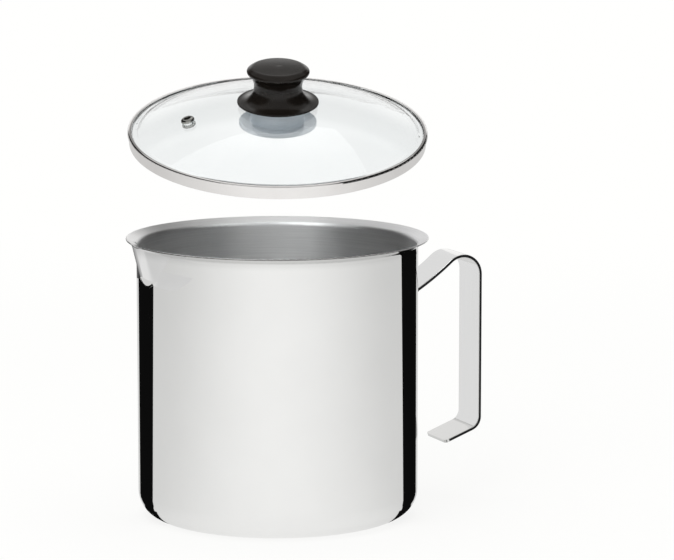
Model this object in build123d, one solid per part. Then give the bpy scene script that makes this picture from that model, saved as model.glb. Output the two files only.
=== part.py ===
from build123d import *
import os
from math import acos, asin, atan2, cos, degrees, radians, sin, sqrt, tan

# Straight-sided milk pot with a pouring lip, a strap handle and a knobbed glass lid.
# Millimetres and degrees, +Z up. The origin is the centre of the base, where the pot stands.
# The handle points along +X and the spout along -X.

# Pot, one deep-drawn sheet
body_diameter = 141.0
pot_height = 140.7
wall = 0.7
base_thickness = 1.0
base_corner_radius = 12.6
lip_overhang = 5.3
lip_slope = 27.0
lip_bend_radius = 1.8

# Pouring spout, pressed out of the wall under the lip
spout_depth = 20.8
spout_radius = 35.0
spout_dip = 0.8
spout_dip_radius = 40.0
spout_crease_round = 1.6

# Strap handle, bent from flat strip
strap_width = 23.5
strap_thickness = 1.6
strap_edge_round = 0.35
strap_corner_round = 2.6
grip_clearance = 36.5
grip_length = 74.0
handle_top_drop = 13.4
top_bend_radius = 10.0
foot_bend_radius = 6.5
foot_slope = 20.5
foot_length = 16.2
tab_bend_radius = 3.4
tab_length = 22.0
tab_lead = 3.0
neck_slope_at_wall = 31.0
neck_slope_at_top = 40.0

# Spot welds between the handle's tab and the wall
weld_diameter = 5.0
weld_spacing_across = 10.0
weld_spacing_up = 10.0
weld_dent_depth = 0.2

# Glass lid and its crimped steel rim band
lid_inset = 1.4
seat_clearance = 0.35
skirt_height = 1.9
band_taper = 0.8
band_sheet = 0.4
band_lip_width = 1.9
band_ledge_width = 2.0
band_bead_height = 1.9
band_bead_depth = 0.45
band_bead_round = 0.9
band_bead_foot_round = 0.4
band_hem_round = 0.3
glass_thickness = 4.0
glass_rise = 15.6
glass_rim_width = 2.6
glass_edge_round = 0.8
glass_shoulder_round = 6.0
glass_fit = 0.05

# Steam vent, a steel eyelet through the glass
vent_offset = 45.7
vent_bearing = 172.0
vent_bore_diameter = 3.2
vent_tube_diameter = 4.4
vent_hole_clearance = 0.2
vent_flange_diameter = 6.8
vent_crown_height = 1.7
vent_crown_round = 1.2
vent_lip_round = 0.35
vent_tail_height = 0.8
vent_seat_gap = 0.08

# Knob
knob_flange_diameter = 40.4
knob_flange_edge = 1.0
knob_flange_round = 0.6
knob_waist_diameter = 23.8
knob_flare_radius = 8.6
knob_cap_foot_diameter = 30.2
knob_cap_diameter = 31.8
knob_cap_side = 1.4
knob_cap_edge_round = 1.2
knob_shoulder_height = 2.0
knob_shoulder_round = 4.0
knob_crown_diameter = 26.0
knob_crown = 0.7
knob_seat_gap = 0.4

# Pieces that fasten the knob through the glass
gasket_diameter = 28.0
gasket_thickness = 0.8
gasket_fit = 0.1
grommet_diameter = 26.8
grommet_length = 10.0
grommet_pad_diameter = 38.0
grommet_pad_thickness = 2.4
grommet_round = 0.6
glass_bore_diameter = 8.0
washer_diameter = 12.0
washer_thickness = 1.0
screw_diameter = 4.0
screw_head_diameter = 8.0
screw_head_height = 2.4
screw_head_round = 1.2
screw_recess_length = 4.6
screw_recess_width = 1.0
screw_recess_depth = 1.2
screw_fit = 0.1
insert_across_flats = 7.0
insert_length = 8.0
insert_tip_room = 1.0

# Lid taken off: lifted over the pot and tipped towards the front left
lid_rest_tilt = 15.3
lid_rest_rise = 49.3
lid_tip_bearing = -110.8

# How far cutting shapes run past what they cut
cut_margin = 5.0

# Radii and heights of the pot that follow from the sizes above
body_radius = body_diameter / 2
lip_radius = body_radius + lip_overhang
lip_edge_radius = lip_radius - wall / 2
lip_edge_height = pot_height - wall / 2
lip_rise = tan(radians(lip_slope))
lip_turn = 90 - lip_slope
tab_radius = body_radius + strap_thickness / 2

# Lid heights, counted from the lower edge of its band
band_height = skirt_height + glass_thickness + 2 * glass_fit + band_sheet
band_top_radius = lip_radius - lid_inset
band_foot_radius = band_top_radius - band_taper
band_bead_foot = band_height - band_bead_height
band_wall_top_radius = band_top_radius - band_bead_depth
band_lean = (band_wall_top_radius - band_foot_radius) / band_bead_foot
channel_radius = band_foot_radius + band_lean * skirt_height - band_sheet
glass_radius = channel_radius - glass_fit
glass_rim_foot = skirt_height + glass_fit
glass_rim_top = glass_rim_foot + glass_thickness
dome_top = glass_rim_top + glass_rise
shoulder_radius = glass_radius - glass_rim_width
dome_radius = (shoulder_radius**2 + glass_rise**2) / (2 * glass_rise)
hollow_radius = dome_radius - glass_thickness
dome_centre = dome_top - dome_radius

# Stack of pieces that holds the knob
glass_bore_radius = glass_bore_diameter / 2
screw_radius = screw_diameter / 2
screw_way_radius = screw_radius + screw_fit
gasket_top = dome_top + gasket_thickness
grommet_foot = dome_top - glass_thickness - grommet_length
washer_foot = grommet_foot - washer_thickness


def revolved(outline, rounds=()):
    """Solid turned about Z from a closed outline of radius and height, some corners rounded."""
    face = make_face(outline)
    for radius, height, size in rounds:
        corner = face.vertices().sort_by_distance((radius, height, 0))[0]
        face = fillet(corner, size)
    return revolve(Plane.XZ * face, Axis.Z)


def turned(points, rounds=()):
    """Solid turned about Z from the corners of its outline."""
    return revolved(Polyline(*points, close=True), rounds)


def arc_about_axis(centre, radius, start, end):
    """Arc centred on the axis between two distances from the axis, above its centre."""
    start_angle = degrees(acos(start / radius))
    end_angle = degrees(acos(end / radius))
    return CenterArc((0, centre), radius, start_angle, end_angle - start_angle)


def sphere_height(radius, away):
    """Height of a sphere about the axis at some distance from the axis."""
    return dome_centre + sqrt(radius**2 - away**2)


def lip_height(radius, inset):
    """Height of the sloping lip's skin, inset from its under face, at a radius."""
    lean = radians(lip_slope)
    skin = inset - wall / 2
    return lip_edge_height + skin / cos(lean) + (radius - lip_edge_radius) * lip_rise


def vessel_form(inset, floor, rim):
    """The pot's outer or inner form, filled, with its spout and a softened crease."""
    radius = body_radius - inset
    corner = base_corner_radius - inset
    bend = lip_bend_radius + inset
    bend_centre = body_radius + lip_bend_radius
    bend_end = bend_centre - bend * cos(radians(lip_turn))
    bend_top = lip_height(bend_end, inset)
    bend_foot = bend_top - bend * sin(radians(lip_turn))
    rim_edges, rim_start, top = rim
    form = revolved([
        Line((0, floor), (radius - corner, floor)),
        CenterArc((radius - corner, floor + corner), corner, -90, 90),
        Line((radius, floor + corner), (radius, bend_foot)),
        CenterArc((bend_centre, bend_foot), bend, 180, -lip_turn),
        Line((bend_end, bend_top), rim_start),
        *rim_edges,
        Line((0, top), (0, floor)),
    ])
    lean = atan2(lip_overhang, spout_depth)
    foot = Vector(-body_radius, 0, pot_height - spout_depth)
    axis_point = foot + Vector(cos(lean), 0, sin(lean)) * spout_radius
    leaning = Plane(axis_point, x_dir=(0, 1, 0), z_dir=(-sin(lean), 0, cos(lean)))
    bulge = leaning * Cylinder(spout_radius - inset, 2 * (spout_depth + cut_margin))
    form += bulge & Pos(0, 0, top / 2) * Cylinder(lip_radius + cut_margin, top)
    spout_skin = sorted(form.faces().filter_by(GeomType.CYLINDER), key=lambda face: face.radius)[0]
    crease = spout_skin.edges().sort_by(Axis.Z)[0]
    return fillet(crease, spout_crease_round + inset)


def make_pot():
    """The pot: its outer form less its inner one, with the rim dipped at the spout."""
    edge_start = radians(-lip_turn)
    under_end = (lip_edge_radius + wall / 2 * cos(edge_start), lip_edge_height + wall / 2 * sin(edge_start))
    rounded_rim = [
        CenterArc((lip_edge_radius, lip_edge_height), wall / 2, -lip_turn, 90 + lip_turn),
        Line((lip_edge_radius, pot_height), (0, pot_height)),
    ]
    outer = vessel_form(0, 0, (rounded_rim, under_end, pot_height))
    wide = lip_radius + cut_margin
    above = pot_height + cut_margin
    open_rim = [Polyline((wide, lip_height(wide, wall)), (wide, above), (0, above))]
    inner = vessel_form(wall, base_thickness, (open_rim, (wide, lip_height(wide, wall)), above))
    dip = Pos(-lip_radius, 0, pot_height - spout_dip + spout_dip_radius) * Rot(0, 90, 0)
    return outer - inner - dip * Cylinder(spout_dip_radius, 2 * lip_overhang)


def strap_line():
    """Middle line of the handle strip, from the top of its tab to the free foot."""
    wall_slope = radians(neck_slope_at_wall)
    top_slope = radians(neck_slope_at_top)
    grip_reach = grip_clearance - top_bend_radius * (1 + sin(top_slope))
    neck_run = grip_reach - tab_bend_radius * (1 - sin(wall_slope))
    neck_radius = neck_run / (sin(top_slope) - sin(wall_slope))
    top_centre = pot_height - handle_top_drop - strap_thickness / 2 - top_bend_radius
    neck_foot = top_centre + top_bend_radius * cos(top_slope)
    neck_foot -= neck_radius * (cos(wall_slope) - cos(top_slope))
    tab_top = neck_foot - tab_bend_radius * cos(wall_slope)
    lead = Line((tab_radius, tab_top - tab_lead), (tab_radius, tab_top))
    tab_bend = JernArc(lead @ 1, lead % 1, tab_bend_radius, neck_slope_at_wall - 90)
    neck = JernArc(tab_bend @ 1, tab_bend % 1, neck_radius, neck_slope_at_top - neck_slope_at_wall)
    top_bend = JernArc(neck @ 1, neck % 1, top_bend_radius, -neck_slope_at_top - 90)
    grip = Line(top_bend @ 1, (top_bend @ 1) + (top_bend % 1) * grip_length)
    foot_bend = JernArc(grip @ 1, grip % 1, foot_bend_radius, foot_slope - 90)
    foot = Line(foot_bend @ 1, (foot_bend @ 1) + (foot_bend % 1) * foot_length)
    return tab_top, Plane.XZ * (lead + tab_bend + neck + top_bend + grip + foot_bend + foot)


def wall_ring(inner, outer, low, high):
    """Ring between two radii and two heights about the pot's axis."""
    ring = Cylinder(outer, high - low) - Cylinder(inner, high - low)
    return Pos(0, 0, (low + high) / 2) * ring


def weld_spots(tab_top):
    """Places on the wall, facing outwards, where the tab is welded."""
    middle = tab_top - tab_length / 2
    spots = []
    for across in (-weld_spacing_across / 2, weld_spacing_across / 2):
        for up in (-weld_spacing_up / 2, weld_spacing_up / 2):
            turn = Rot(0, 0, degrees(asin(across / body_radius)))
            spots.append(turn * Pos(body_radius, 0, middle + up) * Rot(0, 90, 0))
    return spots


def make_handle(tab_top, line):
    """Bent strip with a rounded free end, and the curved tab that lies on the wall."""
    start = Plane(line @ 0, x_dir=(0, 1, 0), z_dir=line % 0)
    strip = sweep(start * RectangleRounded(strap_width, strap_thickness, strap_edge_round), path=line)
    foot_end = Plane(line @ 1, x_dir=(0, 1, 0), z_dir=(line % 1).cross(Vector(0, 1, 0)))
    square_end = foot_end * Box(2 * strap_width, 2 * strap_corner_round, 2 * strap_thickness)
    plate = RectangleRounded(strap_width, 2 * foot_length, strap_corner_round)
    round_end = foot_end * Pos(0, foot_length, 0) * extrude(plate, strap_thickness, both=True)
    low = tab_top - tab_length
    tab = wall_ring(body_radius, body_radius + strap_thickness, low, tab_top)
    blank = RectangleRounded(strap_width, 2 * tab_length, strap_corner_round)
    tab &= Plane.YZ * Pos(0, tab_top) * extrude(blank, 2 * body_radius)
    for spot in weld_spots(tab_top):
        dent = Pos(0, 0, strap_thickness - weld_dent_depth + cut_margin / 2)
        tab -= spot * dent * Cylinder(weld_diameter / 2, cut_margin)
    return strip - (square_end - round_end) + tab


def make_welds(tab_top):
    """Weld nuggets, each half in the wall and half in the tab."""
    low = tab_top - tab_length
    skin = wall_ring(body_radius - wall / 2, tab_radius, low, tab_top)
    return Part() + [skin & spot * Cylinder(weld_diameter / 2, cut_margin) for spot in weld_spots(tab_top)]


def make_band():
    """Rim band: a lip over the glass, a bead, a tapered wall, and a hem with a ledge under the glass."""
    lip_inner = band_top_radius - band_lip_width
    lip_foot = band_height - band_sheet
    ledge_inner = band_foot_radius - band_ledge_width
    ledge_foot = skirt_height - band_sheet
    hem_inner = band_foot_radius - 2 * band_sheet
    return turned(
        [
            (band_foot_radius, 0),
            (band_wall_top_radius, band_bead_foot),
            (band_top_radius, band_bead_foot),
            (band_top_radius, band_height),
            (lip_inner, band_height),
            (lip_inner, lip_foot),
            (channel_radius, lip_foot),
            (channel_radius, skirt_height),
            (ledge_inner, skirt_height),
            (ledge_inner, ledge_foot),
            (hem_inner, ledge_foot),
            (hem_inner, 0),
        ],
        [
            (band_top_radius, band_height, band_bead_round),
            (band_top_radius, band_bead_foot, band_bead_foot_round),
            (band_foot_radius, 0, band_hem_round),
            (hem_inner, 0, band_hem_round),
        ],
    )


def make_glass(vent):
    """Domed glass with a flat rim, a hole for the knob's screw and one for the vent."""
    hollow_edge = sqrt(hollow_radius**2 - (glass_rim_foot - dome_centre) ** 2)
    bore_top = sphere_height(dome_radius, glass_bore_radius)
    bore_foot = sphere_height(hollow_radius, glass_bore_radius)
    rim = Polyline(
        (hollow_edge, glass_rim_foot),
        (glass_radius, glass_rim_foot),
        (glass_radius, glass_rim_top),
        (shoulder_radius, glass_rim_top),
    )
    glass = revolved(
        [
            arc_about_axis(dome_centre, hollow_radius, glass_bore_radius, hollow_edge),
            rim,
            arc_about_axis(dome_centre, dome_radius, shoulder_radius, glass_bore_radius),
            Line((glass_bore_radius, bore_top), (glass_bore_radius, bore_foot)),
        ],
        [
            (glass_radius, glass_rim_foot, glass_edge_round),
            (glass_radius, glass_rim_top, glass_edge_round),
            (shoulder_radius, glass_rim_top, glass_shoulder_round),
            (hollow_edge, glass_rim_foot, glass_shoulder_round),
        ],
    )
    hole_radius = vent_tube_diameter / 2 + vent_hole_clearance
    return glass - vent * Cylinder(hole_radius, 2 * (glass_thickness + cut_margin))


def make_eyelet(vent):
    """Vent eyelet: a domed flange above the glass, a tube through it and a flange below."""
    bore = vent_bore_diameter / 2
    tube = vent_tube_diameter / 2
    flange = vent_flange_diameter / 2
    tail_top = -glass_thickness - vent_seat_gap
    tail_foot = tail_top - vent_tail_height
    return vent * turned(
        [
            (bore, tail_foot),
            (flange, tail_foot),
            (flange, tail_top),
            (tube, tail_top),
            (tube, vent_seat_gap),
            (flange, vent_seat_gap),
            (flange, vent_crown_height),
            (bore, vent_crown_height),
        ],
        [
            (flange, vent_crown_height, vent_crown_round),
            (bore, vent_crown_height, vent_lip_round),
            (flange, tail_foot, vent_lip_round),
            (bore, tail_foot, vent_lip_round),
        ],
    )


def hexagon_bar(across, length):
    """Six-sided bar standing on the top of the gasket."""
    flats = RegularPolygon(across / 2, 6, major_radius=False)
    return Pos(0, 0, gasket_top) * extrude(flats, length)


def make_knob():
    """Waisted knob with a thin foot flange, a recess for the gasket and a pocket for the insert."""
    flange = knob_flange_diameter / 2
    waist = knob_waist_diameter / 2
    cap_foot = knob_cap_foot_diameter / 2
    cap = knob_cap_diameter / 2
    crown = knob_crown_diameter / 2
    recess = gasket_diameter / 2 + gasket_fit
    under = dome_radius + knob_seat_gap
    foot = sphere_height(under, flange)
    flange_top = foot + knob_flange_edge
    hollow = flange - knob_flange_round - waist
    waist_height = flange_top + hollow
    flare_turn = degrees(acos((waist + knob_flare_radius - cap_foot) / knob_flare_radius))
    flare_top = waist_height + knob_flare_radius * sin(radians(flare_turn))
    cap_height = flare_top + knob_cap_side
    crown_foot = cap_height + knob_shoulder_height
    crown_radius = (crown**2 + knob_crown**2) / (2 * knob_crown)
    crown_centre = crown_foot + knob_crown - crown_radius
    knob = revolved(
        [
            Polyline((0, gasket_top), (recess, gasket_top), (recess, sphere_height(under, recess))),
            arc_about_axis(dome_centre, under, recess, flange),
            Polyline((flange, foot), (flange, flange_top), (flange - knob_flange_round, flange_top)),
            CenterArc((waist + hollow, waist_height), hollow, -90, -90),
            CenterArc((waist + knob_flare_radius, waist_height), knob_flare_radius, 180, -flare_turn),
            Polyline((cap_foot, flare_top), (cap, cap_height), (crown, crown_foot)),
            arc_about_axis(crown_centre, crown_radius, crown, 0),
            Line((0, crown_foot + knob_crown), (0, gasket_top)),
        ],
        [
            (crown, crown_foot, knob_shoulder_round),
            (cap, cap_height, knob_cap_edge_round),
            (cap_foot, flare_top, knob_cap_edge_round / 2),
            (flange, flange_top, knob_flange_round / 2),
            (flange, foot, knob_flange_round / 2),
        ],
    )
    tip_height = insert_length + insert_tip_room
    tip_room = Pos(0, 0, gasket_top + tip_height / 2) * Cylinder(screw_way_radius, tip_height)
    return knob - hexagon_bar(insert_across_flats, insert_length) - tip_room


def make_insert():
    """Six-sided nut moulded into the knob."""
    way = Pos(0, 0, gasket_top) * Cylinder(screw_way_radius, 2 * (insert_length + cut_margin))
    return hexagon_bar(insert_across_flats, insert_length) - way


def make_gasket():
    """Soft washer between the knob and the glass, curved beneath to lie on the dome."""
    seat = dome_radius + glass_fit
    edge = gasket_diameter / 2
    return revolved([
        arc_about_axis(dome_centre, seat, screw_way_radius, edge),
        Polyline(
            (edge, sphere_height(seat, edge)),
            (edge, gasket_top),
            (screw_way_radius, gasket_top),
            (screw_way_radius, sphere_height(seat, screw_way_radius)),
        ),
    ])


def make_grommet():
    """Soft spool under the glass: a barrel on a wide pad, and a sleeve that lines the screw's hole."""
    seat = hollow_radius - glass_fit
    edge = grommet_diameter / 2
    pad = grommet_pad_diameter / 2
    pad_top = grommet_foot + grommet_pad_thickness
    sleeve = glass_bore_radius - gasket_fit
    sleeve_top = sphere_height(dome_radius, glass_bore_radius) - gasket_fit
    outline = Polyline(
        (sleeve, sphere_height(seat, sleeve)),
        (sleeve, sleeve_top),
        (screw_way_radius, sleeve_top),
        (screw_way_radius, grommet_foot),
        (pad, grommet_foot),
        (pad, pad_top),
        (edge, pad_top),
        (edge, sphere_height(seat, edge)),
    )
    return revolved(
        [outline, arc_about_axis(dome_centre, seat, edge, sleeve)],
        [
            (pad, grommet_foot, grommet_round),
            (pad, pad_top, grommet_round),
            (edge, pad_top, grommet_round),
        ],
    )


def make_washer():
    """Flat washer between the screw's head and the bush."""
    edge = washer_diameter / 2
    return turned([
        (screw_way_radius, washer_foot),
        (edge, washer_foot),
        (edge, grommet_foot),
        (screw_way_radius, grommet_foot),
    ])


def make_screw():
    """Round-headed screw with a cross recess, up through the glass into the knob's insert."""
    head = screw_head_diameter / 2
    head_foot = washer_foot - screw_head_height
    tip = gasket_top + insert_length
    screw = turned(
        [
            (0, head_foot),
            (head, head_foot),
            (head, washer_foot),
            (screw_radius, washer_foot),
            (screw_radius, tip),
            (0, tip),
        ],
        [(head, head_foot, screw_head_round)],
    )
    slot = Pos(0, 0, head_foot) * Box(screw_recess_length, screw_recess_width, 2 * screw_recess_depth)
    return screw - slot - Rot(0, 0, 90) * slot


def lid_axis():
    """Level line in front of the pot, about which the lid swings between seat and rest."""
    reach = lid_rest_rise / sin(radians(lid_rest_tilt))
    bearing = radians(lid_tip_bearing)
    pole = Vector(reach * cos(bearing), reach * sin(bearing), seat_height())
    return Axis(pole, (-sin(bearing), cos(bearing), 0))


def seat_height():
    """Height of the lower edge of the band when the lid is on the pot."""
    return lip_height(band_foot_radius, wall) + seat_clearance


def at_rest(piece):
    """A piece of the level lid, moved on to the pot and then lifted and tipped to rest."""
    return (Pos(0, 0, seat_height()) * piece).rotate(lid_axis(), lid_rest_tilt)


def main():
    """Builds every piece and writes each to its own file."""
    tab_top, line = strap_line()
    welds = make_welds(tab_top)
    vent_lean = asin(vent_offset / dome_radius)
    out = Vector(cos(radians(vent_bearing)), sin(radians(vent_bearing)), 0)
    normal = out * sin(vent_lean) + Vector(0, 0, cos(vent_lean))
    vent = Plane(Vector(0, 0, dome_centre) + normal * dome_radius, z_dir=normal)
    lid = {
        "lid_rim_band": make_band(),
        "lid_glass": make_glass(vent),
        "vent_eyelet": make_eyelet(vent),
        "lid_knob": make_knob(),
        "knob_insert": make_insert(),
        "knob_gasket": make_gasket(),
        "glass_grommet": make_grommet(),
        "knob_washer": make_washer(),
        "knob_screw": make_screw(),
    }
    pieces = {
        "pot_body": make_pot() - welds,
        "strap_handle": make_handle(tab_top, line) - welds,
        "spot_welds": welds,
    }
    for name, piece in lid.items():
        pieces[name] = at_rest(piece)
    os.makedirs("parts", exist_ok=True)
    for name, piece in pieces.items():
        export_step(piece, f"parts/{name}.step")


main()
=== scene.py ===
from math import cos, radians, sin

import bpy
from mathutils import Matrix, Vector

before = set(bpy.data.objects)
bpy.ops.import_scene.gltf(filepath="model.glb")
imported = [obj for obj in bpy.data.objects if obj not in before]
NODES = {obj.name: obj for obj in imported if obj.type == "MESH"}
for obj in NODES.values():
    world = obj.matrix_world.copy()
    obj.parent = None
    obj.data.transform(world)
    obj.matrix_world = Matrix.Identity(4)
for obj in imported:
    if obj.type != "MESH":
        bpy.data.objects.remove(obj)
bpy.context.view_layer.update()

# Camera as fitted to the photo: where it stands, and where the pot's axis falls in the picture
PICTURE = (674, 560)
FOCAL_PX = 3484
SENSOR_WIDTH = 36
AIM = Vector((0, 0, 0.1))
AIM_PX = (277.5, 316.8)
DISTANCE = 1.75
AZIMUTH = radians(-23)
ELEVATION = radians(9.6)
TO_CAMERA = Vector((sin(AZIMUTH), -cos(AZIMUTH), 0))
TO_RIGHT = Vector((cos(AZIMUTH), sin(AZIMUTH), 0))
UP = Vector((0, 0, 1))

# Pot and lid as in the CAD model, in metres, with the spout's facing in degrees from the camera
BODY_RADIUS = 0.0705
LIP_RADIUS = 0.0758
SPOUT_FOOT = 0.1199
SPOUT_FACING = -67
SPOUT_RADIUS = 0.035
SPOUT_LEAN = 5.3 / 20.8
CREASE_CURVE = 0.0347
STRAP_WIDTH = 0.0235
GRIP_FACE = 0.107
LID_POLE = Vector((-0.066345, -0.174656, 0.14015))
LID_AXIS = Vector((0.934826, -0.355107, 0))
LID_TILT = radians(15.3)
BAND_RADIUS = 0.0744

# Where a piece's look changes, from one bound to the other: painted dark lines of shade along the lip's and the
# strap's edges, painted shade under the lip, the silicone's paler painted-light middle, and the band's bumped crown
RIM_EDGE_INSET = (0.0004, 0.0003)
RIM_EDGE_HEIGHT = (0.14034, 0.14026)
UNDER_LIP_SHADE_HEIGHT = (0.1335, 0.1395)
STRAP_EDGE_INSET = (0.00006, 0.00002)
SPOOL_EDGE_RADIUS = (0.0128, 0.0145)
BAND_CROWN_WIDTH = 0.0019
BAND_CROWN_DROP = 0.00066

# Span that most of a noise lies in, and most of the fine lines
NOISE_SPAN = (0.3, 0.7)
LINE_SPAN = (0.25, 0.75)
LINE_FINENESS = 3200.0

# Black flags by the wall: facings in degrees from the camera, the rest in metres
FLAG_OFF_WALL = 0.004
FLAG_FOOT = 0.009
FLAG_FOOT_FACING = (62.2, 79.5)
FLAG_HEAD_FACING = (59.9, 79.0)
FLAG_TOP = 0.1365
SPOUT_FLAG_TOP = 0.137
CREASE_GAP = 0.0008
OFF_FLOOR = 0.0008
SKIRT_FACING = (68, 79.5)
SILL_INSIDE = 0.0105
SILL_INSIDE_FACING = (57, 92)
SILL_OUTSIDE = 0.003
SILL_OUTSIDE_FACING = (70, 90)

# Cards by the spout and the handle
SHADE_FACING = (-70, -100)
SHADE_HEIGHT = (0.121, 0.139)
SHADE_OFF_SPOUT = 0.012
SPOUT_CARD_FACING = (-52, -110)
SPOUT_CARD_REACH = (0.006, 0.05)
GRIP_CARD_AWAY = 0.1
GRIP_CARD_HALF = 0.035
GRIP_CARD_HEIGHT = 0.13
NECK_CARD_SPAN = (0.055, 0.115)
NECK_CARD_BEHIND = 0.055
NECK_CARD_FOOT = 0.128
NECK_CARD_HEIGHT = 0.075

FLOOR_HALF = 8
FLOOR_SWING = 112


def make_camera():
    data = bpy.data.cameras.new("camera")
    data.sensor_width = SENSOR_WIDTH
    data.lens = FOCAL_PX / PICTURE[0] * data.sensor_width
    data.clip_end = 20
    camera = bpy.data.objects.new("camera", data)
    bpy.context.scene.collection.objects.link(camera)
    back = TO_CAMERA * cos(ELEVATION) + UP * sin(ELEVATION)
    up = UP * cos(ELEVATION) - TO_CAMERA * sin(ELEVATION)
    camera.location = AIM + back * DISTANCE
    right_of_aim = (PICTURE[0] / 2 - AIM_PX[0]) / FOCAL_PX * DISTANCE
    above_aim = (AIM_PX[1] - PICTURE[1] / 2) / FOCAL_PX * DISTANCE
    look = AIM + TO_RIGHT * right_of_aim + up * above_aim - camera.location
    camera.rotation_mode = "QUATERNION"
    camera.rotation_quaternion = look.to_track_quat("-Z", "Y")
    bpy.context.scene.camera = camera


class Nodes:
    """A node tree with short ways to add the nodes that the materials here are made of."""

    def __init__(self, tree, output):
        self.tree = tree
        tree.nodes.clear()
        self.out = tree.nodes.new(output)

    def add(self, kind, **settings):
        node = self.tree.nodes.new(kind)
        for key, value in settings.items():
            setattr(node, key, value)
        return node

    def feed(self, socket, value):
        if isinstance(value, bpy.types.NodeSocket):
            self.tree.links.new(value, socket)
        elif value is not None:
            socket.default_value = value

    def math(self, operation, first, second=None, clamp=False):
        node = self.add("ShaderNodeMath", operation=operation, use_clamp=clamp)
        self.feed(node.inputs[0], first)
        self.feed(node.inputs[1], second)
        return node.outputs[0]

    def total(self, first, *others):
        for other in others:
            first = self.math("ADD", first, other)
        return first

    def product(self, first, second):
        return self.math("MULTIPLY", first, second)

    def vector_math(self, operation, first, second=None):
        node = self.add("ShaderNodeVectorMath", operation=operation)
        self.feed(node.inputs[0], first)
        self.feed(node.inputs[1], second)
        return node.outputs

    def dot(self, vector, direction):
        return self.vector_math("DOT_PRODUCT", vector, direction)["Value"]

    def unit(self, vector):
        return self.vector_math("NORMALIZE", vector)[0]

    def stretched(self, vector, scale):
        return self.vector_math("MULTIPLY", vector, scale)[0]

    def vector(self, x, y, z):
        node = self.add("ShaderNodeCombineXYZ")
        for socket, value in zip(node.inputs, (x, y, z)):
            self.feed(socket, value)
        return node.outputs[0]

    def spread(self, value, start, end, low=0.0, high=1.0, smooth=False):
        """Value mapped from one range to another, and held at its ends."""
        node = self.add("ShaderNodeMapRange")
        node.interpolation_type = "SMOOTHSTEP" if smooth else "LINEAR"
        self.feed(node.inputs["Value"], value)
        for name, amount in (("From Min", start), ("From Max", end), ("To Min", low), ("To Max", high)):
            self.feed(node.inputs[name], amount)
        return node.outputs[0]

    def vary(self, noise, low, high):
        """Noise mapped so that it varies between two values."""
        return self.spread(noise, *NOISE_SPAN, low, high)

    def mix(self, factor, first, second):
        node = self.add("ShaderNodeMix", data_type="RGBA")
        self.feed(node.inputs["Factor"], factor)
        self.feed(node.inputs[6], first)
        self.feed(node.inputs[7], second)
        return node.outputs[2]

    def tones(self, noise, dark, light):
        """Colour that varies between two with a noise."""
        return self.mix(self.spread(noise, *NOISE_SPAN), (*dark, 1), (*light, 1))

    def blend(self, factor, first, second):
        return self.total(first, self.product(factor, self.math("SUBTRACT", second, first)))

    def noise(self, vector, scale, detail=3.0, roughness=0.55):
        node = self.add("ShaderNodeTexNoise")
        self.feed(node.inputs["Vector"], vector)
        self.feed(node.inputs["Scale"], scale)
        self.feed(node.inputs["Detail"], detail)
        self.feed(node.inputs["Roughness"], roughness)
        return node.outputs[0]

    def bump(self, height, strength, distance, normal=None):
        node = self.add("ShaderNodeBump")
        self.feed(node.inputs["Height"], height)
        self.feed(node.inputs["Strength"], strength)
        self.feed(node.inputs["Distance"], distance)
        self.feed(node.inputs["Normal"], normal)
        return node.outputs[0]

    def place(self):
        return self.add("ShaderNodeTexCoord").outputs["Object"]

    def lid_place(self):
        """Place on the lid as it lies level on the pot, whatever its rest pose."""
        turned = Matrix.Rotation(-LID_TILT, 4, LID_AXIS)
        level = Matrix.Translation(LID_POLE) @ turned @ Matrix.Translation(-LID_POLE)
        node = self.add("ShaderNodeMapping")
        self.feed(node.inputs["Vector"], self.place())
        node.inputs["Location"].default_value = level.to_translation()
        node.inputs["Rotation"].default_value = level.to_euler()
        return node.outputs[0]

    def round_axis(self, place):
        """Turn about the upright axis, distance from it, and height."""
        parts = self.add("ShaderNodeSeparateXYZ")
        self.feed(parts.inputs[0], place)
        turn = self.math("ARCTAN2", parts.outputs[1], parts.outputs[0])
        away = self.vector_math("LENGTH", self.stretched(place, (1, 1, 0)))["Value"]
        return turn, away, parts.outputs[2]

    def lathe_lines(self, turn, away, height, fineness=LINE_FINENESS):
        """Fine lines that run round an axis, as brushing or polishing on a lathe leaves them."""
        drawn = self.vector(self.product(turn, 2.2), self.product(away, fineness), self.product(height, fineness))
        return self.noise(drawn, 1.0, 4.0, 0.62)

    def inward(self, place):
        """Positive on faces that look up or towards the axis, negative on the outside and beneath."""
        facing = self.add("ShaderNodeTexCoord").outputs["Normal"]
        outward = self.dot(facing, self.unit(self.stretched(place, (1, 1, 0))))
        return self.math("SUBTRACT", self.dot(facing, UP), outward)

    def end(self, shader):
        self.feed(self.out.inputs["Surface"], shader)

    def principled(self, **values):
        shader = self.add("ShaderNodeBsdfPrincipled")
        for key, value in values.items():
            self.feed(shader.inputs[key.replace("_", " ")], value)
        self.end(shader.outputs[0])

    def lit(self, kind, strength, colour=(1, 1, 1, 1)):
        """Shader that gives off light: an emission or a background."""
        node = self.add(kind)
        self.feed(node.inputs["Color"], colour)
        self.feed(node.inputs["Strength"], strength)
        return node.outputs[0]

    def shader_mix(self, factor, first, second):
        node = self.add("ShaderNodeMixShader")
        for socket, value in zip(node.inputs, (factor, first, second)):
            self.feed(socket, value)
        return node.outputs[0]

    def rays(self):
        """Whether a ray shows what it meets directly or through glass, and whether it is a reflection."""
        path = self.add("ShaderNodeLightPath").outputs
        seen = self.math("MAXIMUM", path["Is Camera Ray"], path["Is Transmission Ray"])
        return seen, path["Is Glossy Ray"]


def material(name):
    made = bpy.data.materials.new(name)
    made.use_nodes = True
    return made, Nodes(made.node_tree, "ShaderNodeOutputMaterial")


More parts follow.
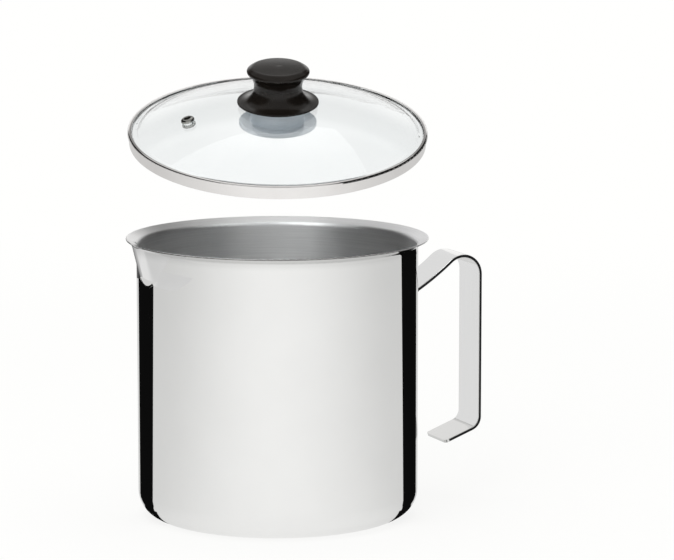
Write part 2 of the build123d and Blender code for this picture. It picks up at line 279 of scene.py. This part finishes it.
def pot_steel():
    """Mirror-polished outside and satin brushed inside, with painted shade darkening the outside under the lip and a
    painted dark line of shade along the lip's cut edge.
    """
    made, nodes = material("pot_steel")
    place = nodes.place()
    turn, away, height = nodes.round_axis(place)
    lines = nodes.lathe_lines(turn, away, height, 2600.0)
    smudge = nodes.noise(place, 38.0, 4.0)
    inside = nodes.spread(nodes.inward(place), -0.2, 0.2)
    # Painted shade: a near-black line along the outside of the lip's cut edge.
    at_rim = nodes.spread(away, *(LIP_RADIUS - inset for inset in RIM_EDGE_INSET))
    painted_shade_edge = nodes.product(at_rim, nodes.spread(height, *RIM_EDGE_HEIGHT))
    bright = nodes.tones(smudge, (0.865, 0.865, 0.86), (0.885, 0.885, 0.88))
    # Painted shade: the polished outside is darkened by up to a fifth towards the top of the wall, under the lip.
    painted_shade_under_lip = nodes.spread(height, *UNDER_LIP_SHADE_HEIGHT, 0.0, 0.2, smooth=True)
    polished = nodes.mix(painted_shade_under_lip, bright, (0.0, 0.0, 0.0, 1))
    satin = nodes.tones(lines, (0.82, 0.82, 0.82), (0.94, 0.94, 0.94))
    colour = nodes.mix(painted_shade_edge, nodes.mix(inside, polished, satin), (0.05, 0.05, 0.05, 1))
    gloss = nodes.vary(smudge, 0.035, 0.065)
    brushed = nodes.spread(lines, *LINE_SPAN, 0.38, 0.47)
    rough = nodes.blend(inside, gloss, brushed)
    strength = nodes.spread(inside, 0.0, 1.0, 0.004, 0.16)
    normal = nodes.bump(lines, strength, 0.00006)
    nodes.principled(Base_Color=colour, Metallic=1.0, Roughness=rough, Normal=normal,
                     Anisotropic=0.8, Anisotropic_Rotation=0.25)
    return made


def strap_steel():
    """Polished strip with a fine grain along its length; its sheared edges are painted near-black, a painted shade.
    """
    made, nodes = material("strap_steel")
    place = nodes.place()
    grain = nodes.noise(nodes.stretched(place, (60, 3400, 60)), 1.0, 4.0, 0.6)
    smudge = nodes.noise(place, 70.0, 3.0)
    across = nodes.math("ABSOLUTE", nodes.dot(place, (0, 1, 0)))
    # Painted shade: the sheared edges get a near-black colour, a dark line that stands in for shade, not the steel's
    # own colour.
    painted_shade_edge = nodes.spread(across, *(STRAP_WIDTH / 2 - inset for inset in STRAP_EDGE_INSET))
    face = nodes.tones(grain, (0.82, 0.82, 0.815), (0.87, 0.87, 0.865))
    edge = nodes.tones(smudge, (0.012, 0.012, 0.013), (0.03, 0.03, 0.031))
    colour = nodes.mix(painted_shade_edge, face, edge)
    shine = nodes.total(nodes.vary(smudge, 0.06, 0.10), nodes.vary(grain, 0.0, 0.04))
    rough = nodes.blend(painted_shade_edge, shine, 0.4)
    normal = nodes.bump(grain, 0.02, 0.00005)
    nodes.principled(Base_Color=colour, Metallic=1.0, Roughness=rough, Normal=normal)
    return made


def lid_metal(name, dark, light, rough):
    """Small metal piece of the lid, with fine lines round the lid's axis."""
    made, nodes = material(name)
    place = nodes.lid_place()
    lines = nodes.lathe_lines(*nodes.round_axis(place))
    cloud = nodes.noise(place, 90.0, 3.0)
    shade = nodes.total(nodes.product(lines, 0.6), nodes.product(cloud, 0.4))
    colour = nodes.tones(shade, dark, light)
    finish = nodes.spread(lines, *LINE_SPAN, *rough)
    normal = nodes.bump(lines, 0.06, 0.00005)
    nodes.principled(Base_Color=colour, Metallic=1.0, Roughness=finish, Normal=normal)
    return made


def band_steel():
    """Thin polished sheet, faintly warm, whose lip over the glass is rolled to a low crown."""
    made, nodes = material("band_steel")
    place = nodes.lid_place()
    turn, away, height = nodes.round_axis(place)
    lines = nodes.lathe_lines(turn, away, height)
    smudge = nodes.noise(place, 60.0, 3.0)
    colour = nodes.tones(smudge, (0.83, 0.81, 0.80), (0.87, 0.855, 0.845))
    rough = nodes.spread(lines, *LINE_SPAN, 0.05, 0.09)
    across = nodes.spread(away, BAND_RADIUS - BAND_CROWN_WIDTH, BAND_RADIUS)
    crown = nodes.bump(nodes.product(across, across), 1.0, -BAND_CROWN_DROP)
    normal = nodes.bump(lines, 0.02, 0.00005, crown)
    nodes.principled(Base_Color=colour, Metallic=1.0, Roughness=rough, Normal=normal)
    return made


def weld_metal():
    """Cast-looking weld nugget, blotched by heat."""
    made, nodes = material("weld_metal")
    blotch = nodes.noise(nodes.place(), 900.0, 5.0, 0.65)
    colour = nodes.tones(blotch, (0.52, 0.51, 0.49), (0.70, 0.70, 0.69))
    rough = nodes.vary(blotch, 0.28, 0.45)
    normal = nodes.bump(blotch, 0.2, 0.0001)
    nodes.principled(Base_Color=colour, Metallic=1.0, Roughness=rough, Normal=normal)
    return made


def lid_glass():
    """Clear pressed glass, very slightly wavy and smudged."""
    made, nodes = material("lid_glass")
    place = nodes.lid_place()
    wave = nodes.noise(place, 22.0, 2.0)
    smudge = nodes.noise(place, 55.0, 5.0, 0.6)
    colour = nodes.mix(nodes.spread(smudge, 0.35, 0.7), (0.905, 0.925, 0.932, 1), (0.885, 0.91, 0.918, 1))
    rough = nodes.spread(smudge, 0.35, 0.75, 0.0, 0.02)
    normal = nodes.bump(wave, 0.05, 0.0006)
    nodes.principled(Base_Color=colour, Roughness=rough, IOR=1.5, Transmission_Weight=1.0, Normal=normal)
    return made


def knob_plastic():
    """Near-black moulded plastic with a brownish cast and a fine skin."""
    made, nodes = material("knob_plastic")
    place = nodes.lid_place()
    cloud = nodes.noise(place, 120.0, 4.0)
    skin = nodes.noise(place, 2400.0, 3.0)
    colour = nodes.tones(cloud, (0.0075, 0.0058, 0.0045), (0.0125, 0.0098, 0.008))
    rough = nodes.total(nodes.vary(cloud, 0.17, 0.22), nodes.vary(skin, 0.0, 0.04))
    normal = nodes.bump(skin, 0.05, 0.00004)
    nodes.principled(Base_Color=colour, Roughness=rough, IOR=1.5, Normal=normal, Specular_IOR_Level=0.3)
    return made


def soft_silicone():
    """Translucent bluish-grey rubber: a faint glow stands in for the light that comes through it."""
    made, nodes = material("soft_silicone")
    place = nodes.lid_place()
    away = nodes.round_axis(place)[1]
    cloud = nodes.noise(place, 160.0, 3.0)
    skin = nodes.noise(place, 1800.0, 2.0)
    edge = nodes.tones(cloud, (0.50, 0.53, 0.555), (0.55, 0.575, 0.595))
    # Painted light: the middle under the knob is coloured paler than the edge, against the knob's shadow over it.
    middle = nodes.tones(cloud, (0.68, 0.73, 0.78), (0.73, 0.78, 0.82))
    colour = nodes.mix(nodes.spread(away, *SPOOL_EDGE_RADIUS), middle, edge)
    rough = nodes.vary(skin, 0.38, 0.5)
    normal = nodes.bump(skin, 0.06, 0.00006)
    nodes.principled(Base_Color=colour, Roughness=rough, IOR=1.41, Normal=normal,
                     Emission_Color=(0.8, 0.9, 1.0, 1), Emission_Strength=0.12)
    return made


def dress(made, *names):
    for name in names:
        for slot in NODES[name].material_slots:
            slot.material = made


def mesh_object(name, vertices, faces):
    data = bpy.data.meshes.new(name)
    data.from_pydata(vertices, [], faces)
    made = bpy.data.objects.new(name, data)
    bpy.context.scene.collection.objects.link(made)
    return made


def make_world():
    """White to the camera; in reflections a room with dark sides that is brightest overhead and behind."""
    world = bpy.data.worlds.new("studio")
    bpy.context.scene.world = world
    world.use_nodes = True
    nodes = Nodes(world.node_tree, "ShaderNodeOutputWorld")
    toward = nodes.add("ShaderNodeTexCoord").outputs["Generated"]
    aside = nodes.math("ABSOLUTE", nodes.dot(toward, TO_RIGHT))
    rise = nodes.math("ARCTAN2", nodes.dot(toward, UP), nodes.dot(toward, TO_CAMERA))

    def over(start, end, low=0.0, high=1.0):
        """Changes with the angle up from the camera's side, over the top and down behind."""
        return nodes.spread(rise, radians(start), radians(end), low, high, smooth=True)

    def darker(start, end, least):
        """Falls off towards both sides."""
        return nodes.spread(aside, start, end, 1.0, least, smooth=True)

    front_wall = over(5, 24, 0.7, 0.5)
    ceiling = over(102, 117, 0.0, 0.7)
    gap = over(125, 135, 0.0, -0.9)
    back_wall = over(142, 160, 0.0, 0.7)
    room = nodes.total(front_wall, ceiling, gap, back_wall)
    front_sides = nodes.product(nodes.blend(over(95, 112), 1.0, darker(0.08, 0.32, 0.42)), darker(0.52, 0.70, 0.015))
    sides = nodes.blend(over(122, 132), front_sides, darker(0.34, 0.46, 0.03))
    mirrored = nodes.lit("ShaderNodeBackground", nodes.product(room, sides), (1, 0.995, 0.985, 1))
    light = nodes.lit("ShaderNodeBackground", 0.8, (0.8, 0.8, 0.8, 1))
    white = nodes.lit("ShaderNodeBackground", 1.0, (1, 1, 0.99, 1))
    seen, glossy = nodes.rays()
    nodes.end(nodes.shader_mix(seen, nodes.shader_mix(glossy, light, mirrored), white))


def make_floor():
    """Pale floor that keeps a soft shadow, white to the camera and greyer behind in reflections."""
    made, nodes = material("floor")
    place = nodes.place()
    away = nodes.round_axis(place)[1]
    facing = nodes.math("ARCCOSINE", nodes.dot(nodes.unit(place), TO_CAMERA))
    swing = nodes.product(nodes.math("MINIMUM", facing, radians(FLOOR_SWING)), 180 / FLOOR_SWING)
    tone = nodes.spread(nodes.math("COSINE", swing), -1.0, 1.0, 0.67, 0.965)
    seen, glossy = nodes.rays()
    mirrored = nodes.math("SUBTRACT", glossy, seen, clamp=True)
    plain = nodes.spread(away, 0.25, 1.0, 0.86, 1.0, smooth=True)
    share = nodes.product(nodes.math("MAXIMUM", seen, glossy), plain)
    matt = nodes.add("ShaderNodeBsdfDiffuse")
    matt.inputs["Color"].default_value = (0.95, 0.95, 0.94, 1)
    glow = nodes.lit("ShaderNodeEmission", nodes.blend(mirrored, 1.0, tone), (1, 1, 0.99, 1))
    nodes.end(nodes.shader_mix(share, matt.outputs[0], glow))
    corners = [(x * FLOOR_HALF, y * FLOOR_HALF, 0) for x, y in ((-1, -1), (1, -1), (1, 1), (-1, 1))]
    floor = mesh_object("floor", corners, [(0, 1, 2, 3)])
    floor.data.materials.append(made)


def round_about(angle):
    """Level direction at an angle from the camera's, positive to the right of the picture."""
    turn = radians(angle)
    return TO_CAMERA * cos(turn) + TO_RIGHT * sin(turn)


def raised(point, height):
    return point + UP * height


def by_wall(facing, off_wall, height):
    """Point straight out from the wall where it faces that far from the camera."""
    return raised(round_about(facing) * (BODY_RADIUS + off_wall), height)


def mirrored_by_wall(facing, height):
    """Point a flag's distance from the wall, that the camera sees in it where it faces that way."""
    return by_wall(facing, 0, height) + round_about(2 * facing) * FLAG_OFF_WALL


def spout_crease(facing):
    """Height on the wall where the spout begins, at a facing angle."""
    aside = BODY_RADIUS * sin(radians(facing - SPOUT_FACING))
    return SPOUT_FOOT + aside**2 / CREASE_CURVE


def spout_middle(height):
    """Centre of the spout's round face at a height."""
    out = BODY_RADIUS - SPOUT_RADIUS + SPOUT_LEAN * (height - SPOUT_FOOT)
    return raised(round_about(SPOUT_FACING) * out, height)


def spout_side(facing, height):
    """Point on the spout's leaning round face where it faces that far from the camera."""
    return spout_middle(height) + round_about(facing) * SPOUT_RADIUS


def steps(first, last, count=12):
    return [first + (last - first) * step / (count - 1) for step in range(count)]


def card(name, low, high, made):
    """Studio card between two lines of points, that shows only in polished surfaces."""
    count = len(low)
    faces = [(step, step + 1, count + step + 1, count + step) for step in range(count - 1)]
    shape = mesh_object(name, low + high, faces)
    shape.data.materials.append(made)
    shape.visible_camera = False
    shape.visible_diffuse = False
    shape.visible_transmission = False
    shape.visible_shadow = False
    shape.visible_volume_scatter = False


def even_glow(name, strength):
    made, nodes = material(name)
    nodes.end(nodes.lit("ShaderNodeEmission", strength))
    return made


def shade_glow():
    """Dimmer the further round the spout."""
    made, nodes = material("spout_shade")
    off_middle = nodes.vector_math("SUBTRACT", nodes.place(), spout_middle(0.13))[0]
    to_left = nodes.product(nodes.dot(off_middle, TO_RIGHT), -1.0)
    turn = nodes.math("ARCTAN2", to_left, nodes.dot(off_middle, TO_CAMERA))
    nodes.end(nodes.lit("ShaderNodeEmission", nodes.spread(turn, radians(85), radians(102), 0.64, 0.12)))
    return made


def spout_glow():
    """As pale as the floor, and brighter on the side that shows in the spout's left face."""
    made, nodes = material("spout_card")
    place = nodes.place()
    turn = nodes.math("ARCTAN2", nodes.dot(place, TO_RIGHT), nodes.dot(place, TO_CAMERA))
    plain = nodes.spread(turn, radians(-66), radians(-50), 0.68, 0.72)
    past = round_about(-202)
    beyond = nodes.math("SUBTRACT", nodes.dot(place, past), spout_side(-54, 0.128).dot(past))
    brighter = nodes.spread(beyond, -0.003, 0.005, 0.0, 0.155, smooth=True)
    in_front = nodes.spread(turn, radians(-102), radians(-86))
    nodes.end(nodes.lit("ShaderNodeEmission", nodes.total(plain, nodes.product(brighter, in_front))))
    return made


def make_flag(name, side, made):
    """Black flag by the wall, with a tapered skirt to the floor and a sill under the base's corner."""
    def at_side(facings):
        return [side * facing for facing in steps(*facings)]

    def top(facing):
        return min(SPOUT_FLAG_TOP, spout_crease(facing) - CREASE_GAP) if side < 0 else FLAG_TOP

    foot = [mirrored_by_wall(facing, FLAG_FOOT) for facing in at_side(FLAG_FOOT_FACING)]
    head = [mirrored_by_wall(facing, top(facing)) for facing in at_side(FLAG_HEAD_FACING)]
    card(name, foot, head, made)
    skirt = [mirrored_by_wall(facing, OFF_FLOOR) for facing in at_side(SKIRT_FACING)]
    card(name + "_skirt", skirt, foot, made)
    inmost = [by_wall(facing, -SILL_INSIDE, OFF_FLOOR) for facing in at_side(SILL_INSIDE_FACING)]
    outmost = [by_wall(facing, SILL_OUTSIDE, OFF_FLOOR) for facing in at_side(SILL_OUTSIDE_FACING)]
    card(name + "_sill", inmost, outmost, made)


def make_cards():
    """Black flags close to the wall for its dark strips, and paler cards by the spout and the handle."""
    black = even_glow("black_card", 0.004)
    make_flag("flag_left", -1, black)
    make_flag("flag_right", 1, black)

    lower, upper = [
        [spout_side(facing, height) + round_about(2 * facing) * SHADE_OFF_SPOUT for facing in steps(*SHADE_FACING)]
        for height in SHADE_HEIGHT
    ]
    card("spout_shade", lower, upper, shade_glow())

    pale = even_glow("pale_card", 0.82)
    onward = Vector((TO_CAMERA.x, -TO_CAMERA.y, 0))
    across = Vector((-onward.y, onward.x, 0))
    middle = Vector((GRIP_FACE, 0, 0)) + onward * GRIP_CARD_AWAY
    grip = [middle - across * GRIP_CARD_HALF, middle + across * GRIP_CARD_HALF]
    card("grip_card", grip, [raised(end, GRIP_CARD_HEIGHT) for end in grip], pale)
    neck = [Vector((x, NECK_CARD_BEHIND, NECK_CARD_FOOT)) for x in NECK_CARD_SPAN]
    card("neck_card", neck, [raised(end, NECK_CARD_HEIGHT) for end in neck], pale)

    inner, outer = [
        [by_wall(facing, reach, SPOUT_FOOT) for facing in steps(*SPOUT_CARD_FACING, 18)] for reach in SPOUT_CARD_REACH
    ]
    card("spout_card", inner, outer, spout_glow())


def make_lamp(name, place, at, size, watts):
    data = bpy.data.lights.new(name, "AREA")
    data.shape = "RECTANGLE"
    data.size = data.size_y = size
    data.energy = watts
    made = bpy.data.objects.new(name, data)
    bpy.context.scene.collection.objects.link(made)
    made.location = place
    made.rotation_mode = "QUATERNION"
    made.rotation_quaternion = (at - place).to_track_quat("-Z", "Y")
    made.visible_camera = False
    made.visible_glossy = False


make_camera()
make_world()
make_floor()
make_cards()
make_lamp("key", raised(round_about(-25) * 1.1, 1.3), UP * 0.12, 1.0, 8)
make_lamp("top", Vector((0, 0.1, 1.7)), Vector((0, 0, 0)), 1.6, 8)

dress(pot_steel(), "pot_body")
dress(strap_steel(), "strap_handle")
dress(weld_metal(), "spot_welds")
dress(band_steel(), "lid_rim_band")
dress(lid_glass(), "lid_glass")
dress(lid_metal("eyelet_steel", (0.34, 0.34, 0.32), (0.46, 0.46, 0.44), (0.08, 0.16)), "vent_eyelet")
dress(knob_plastic(), "lid_knob")
dress(lid_metal("insert_brass", (0.68, 0.52, 0.26), (0.80, 0.64, 0.36), (0.22, 0.34)), "knob_insert")
dress(soft_silicone(), "knob_gasket", "glass_grommet")
dress(lid_metal("fastener_steel", (0.56, 0.56, 0.55), (0.70, 0.70, 0.69), (0.20, 0.32)), "knob_washer", "knob_screw")

bpy.context.scene.view_settings.view_transform = "Standard"
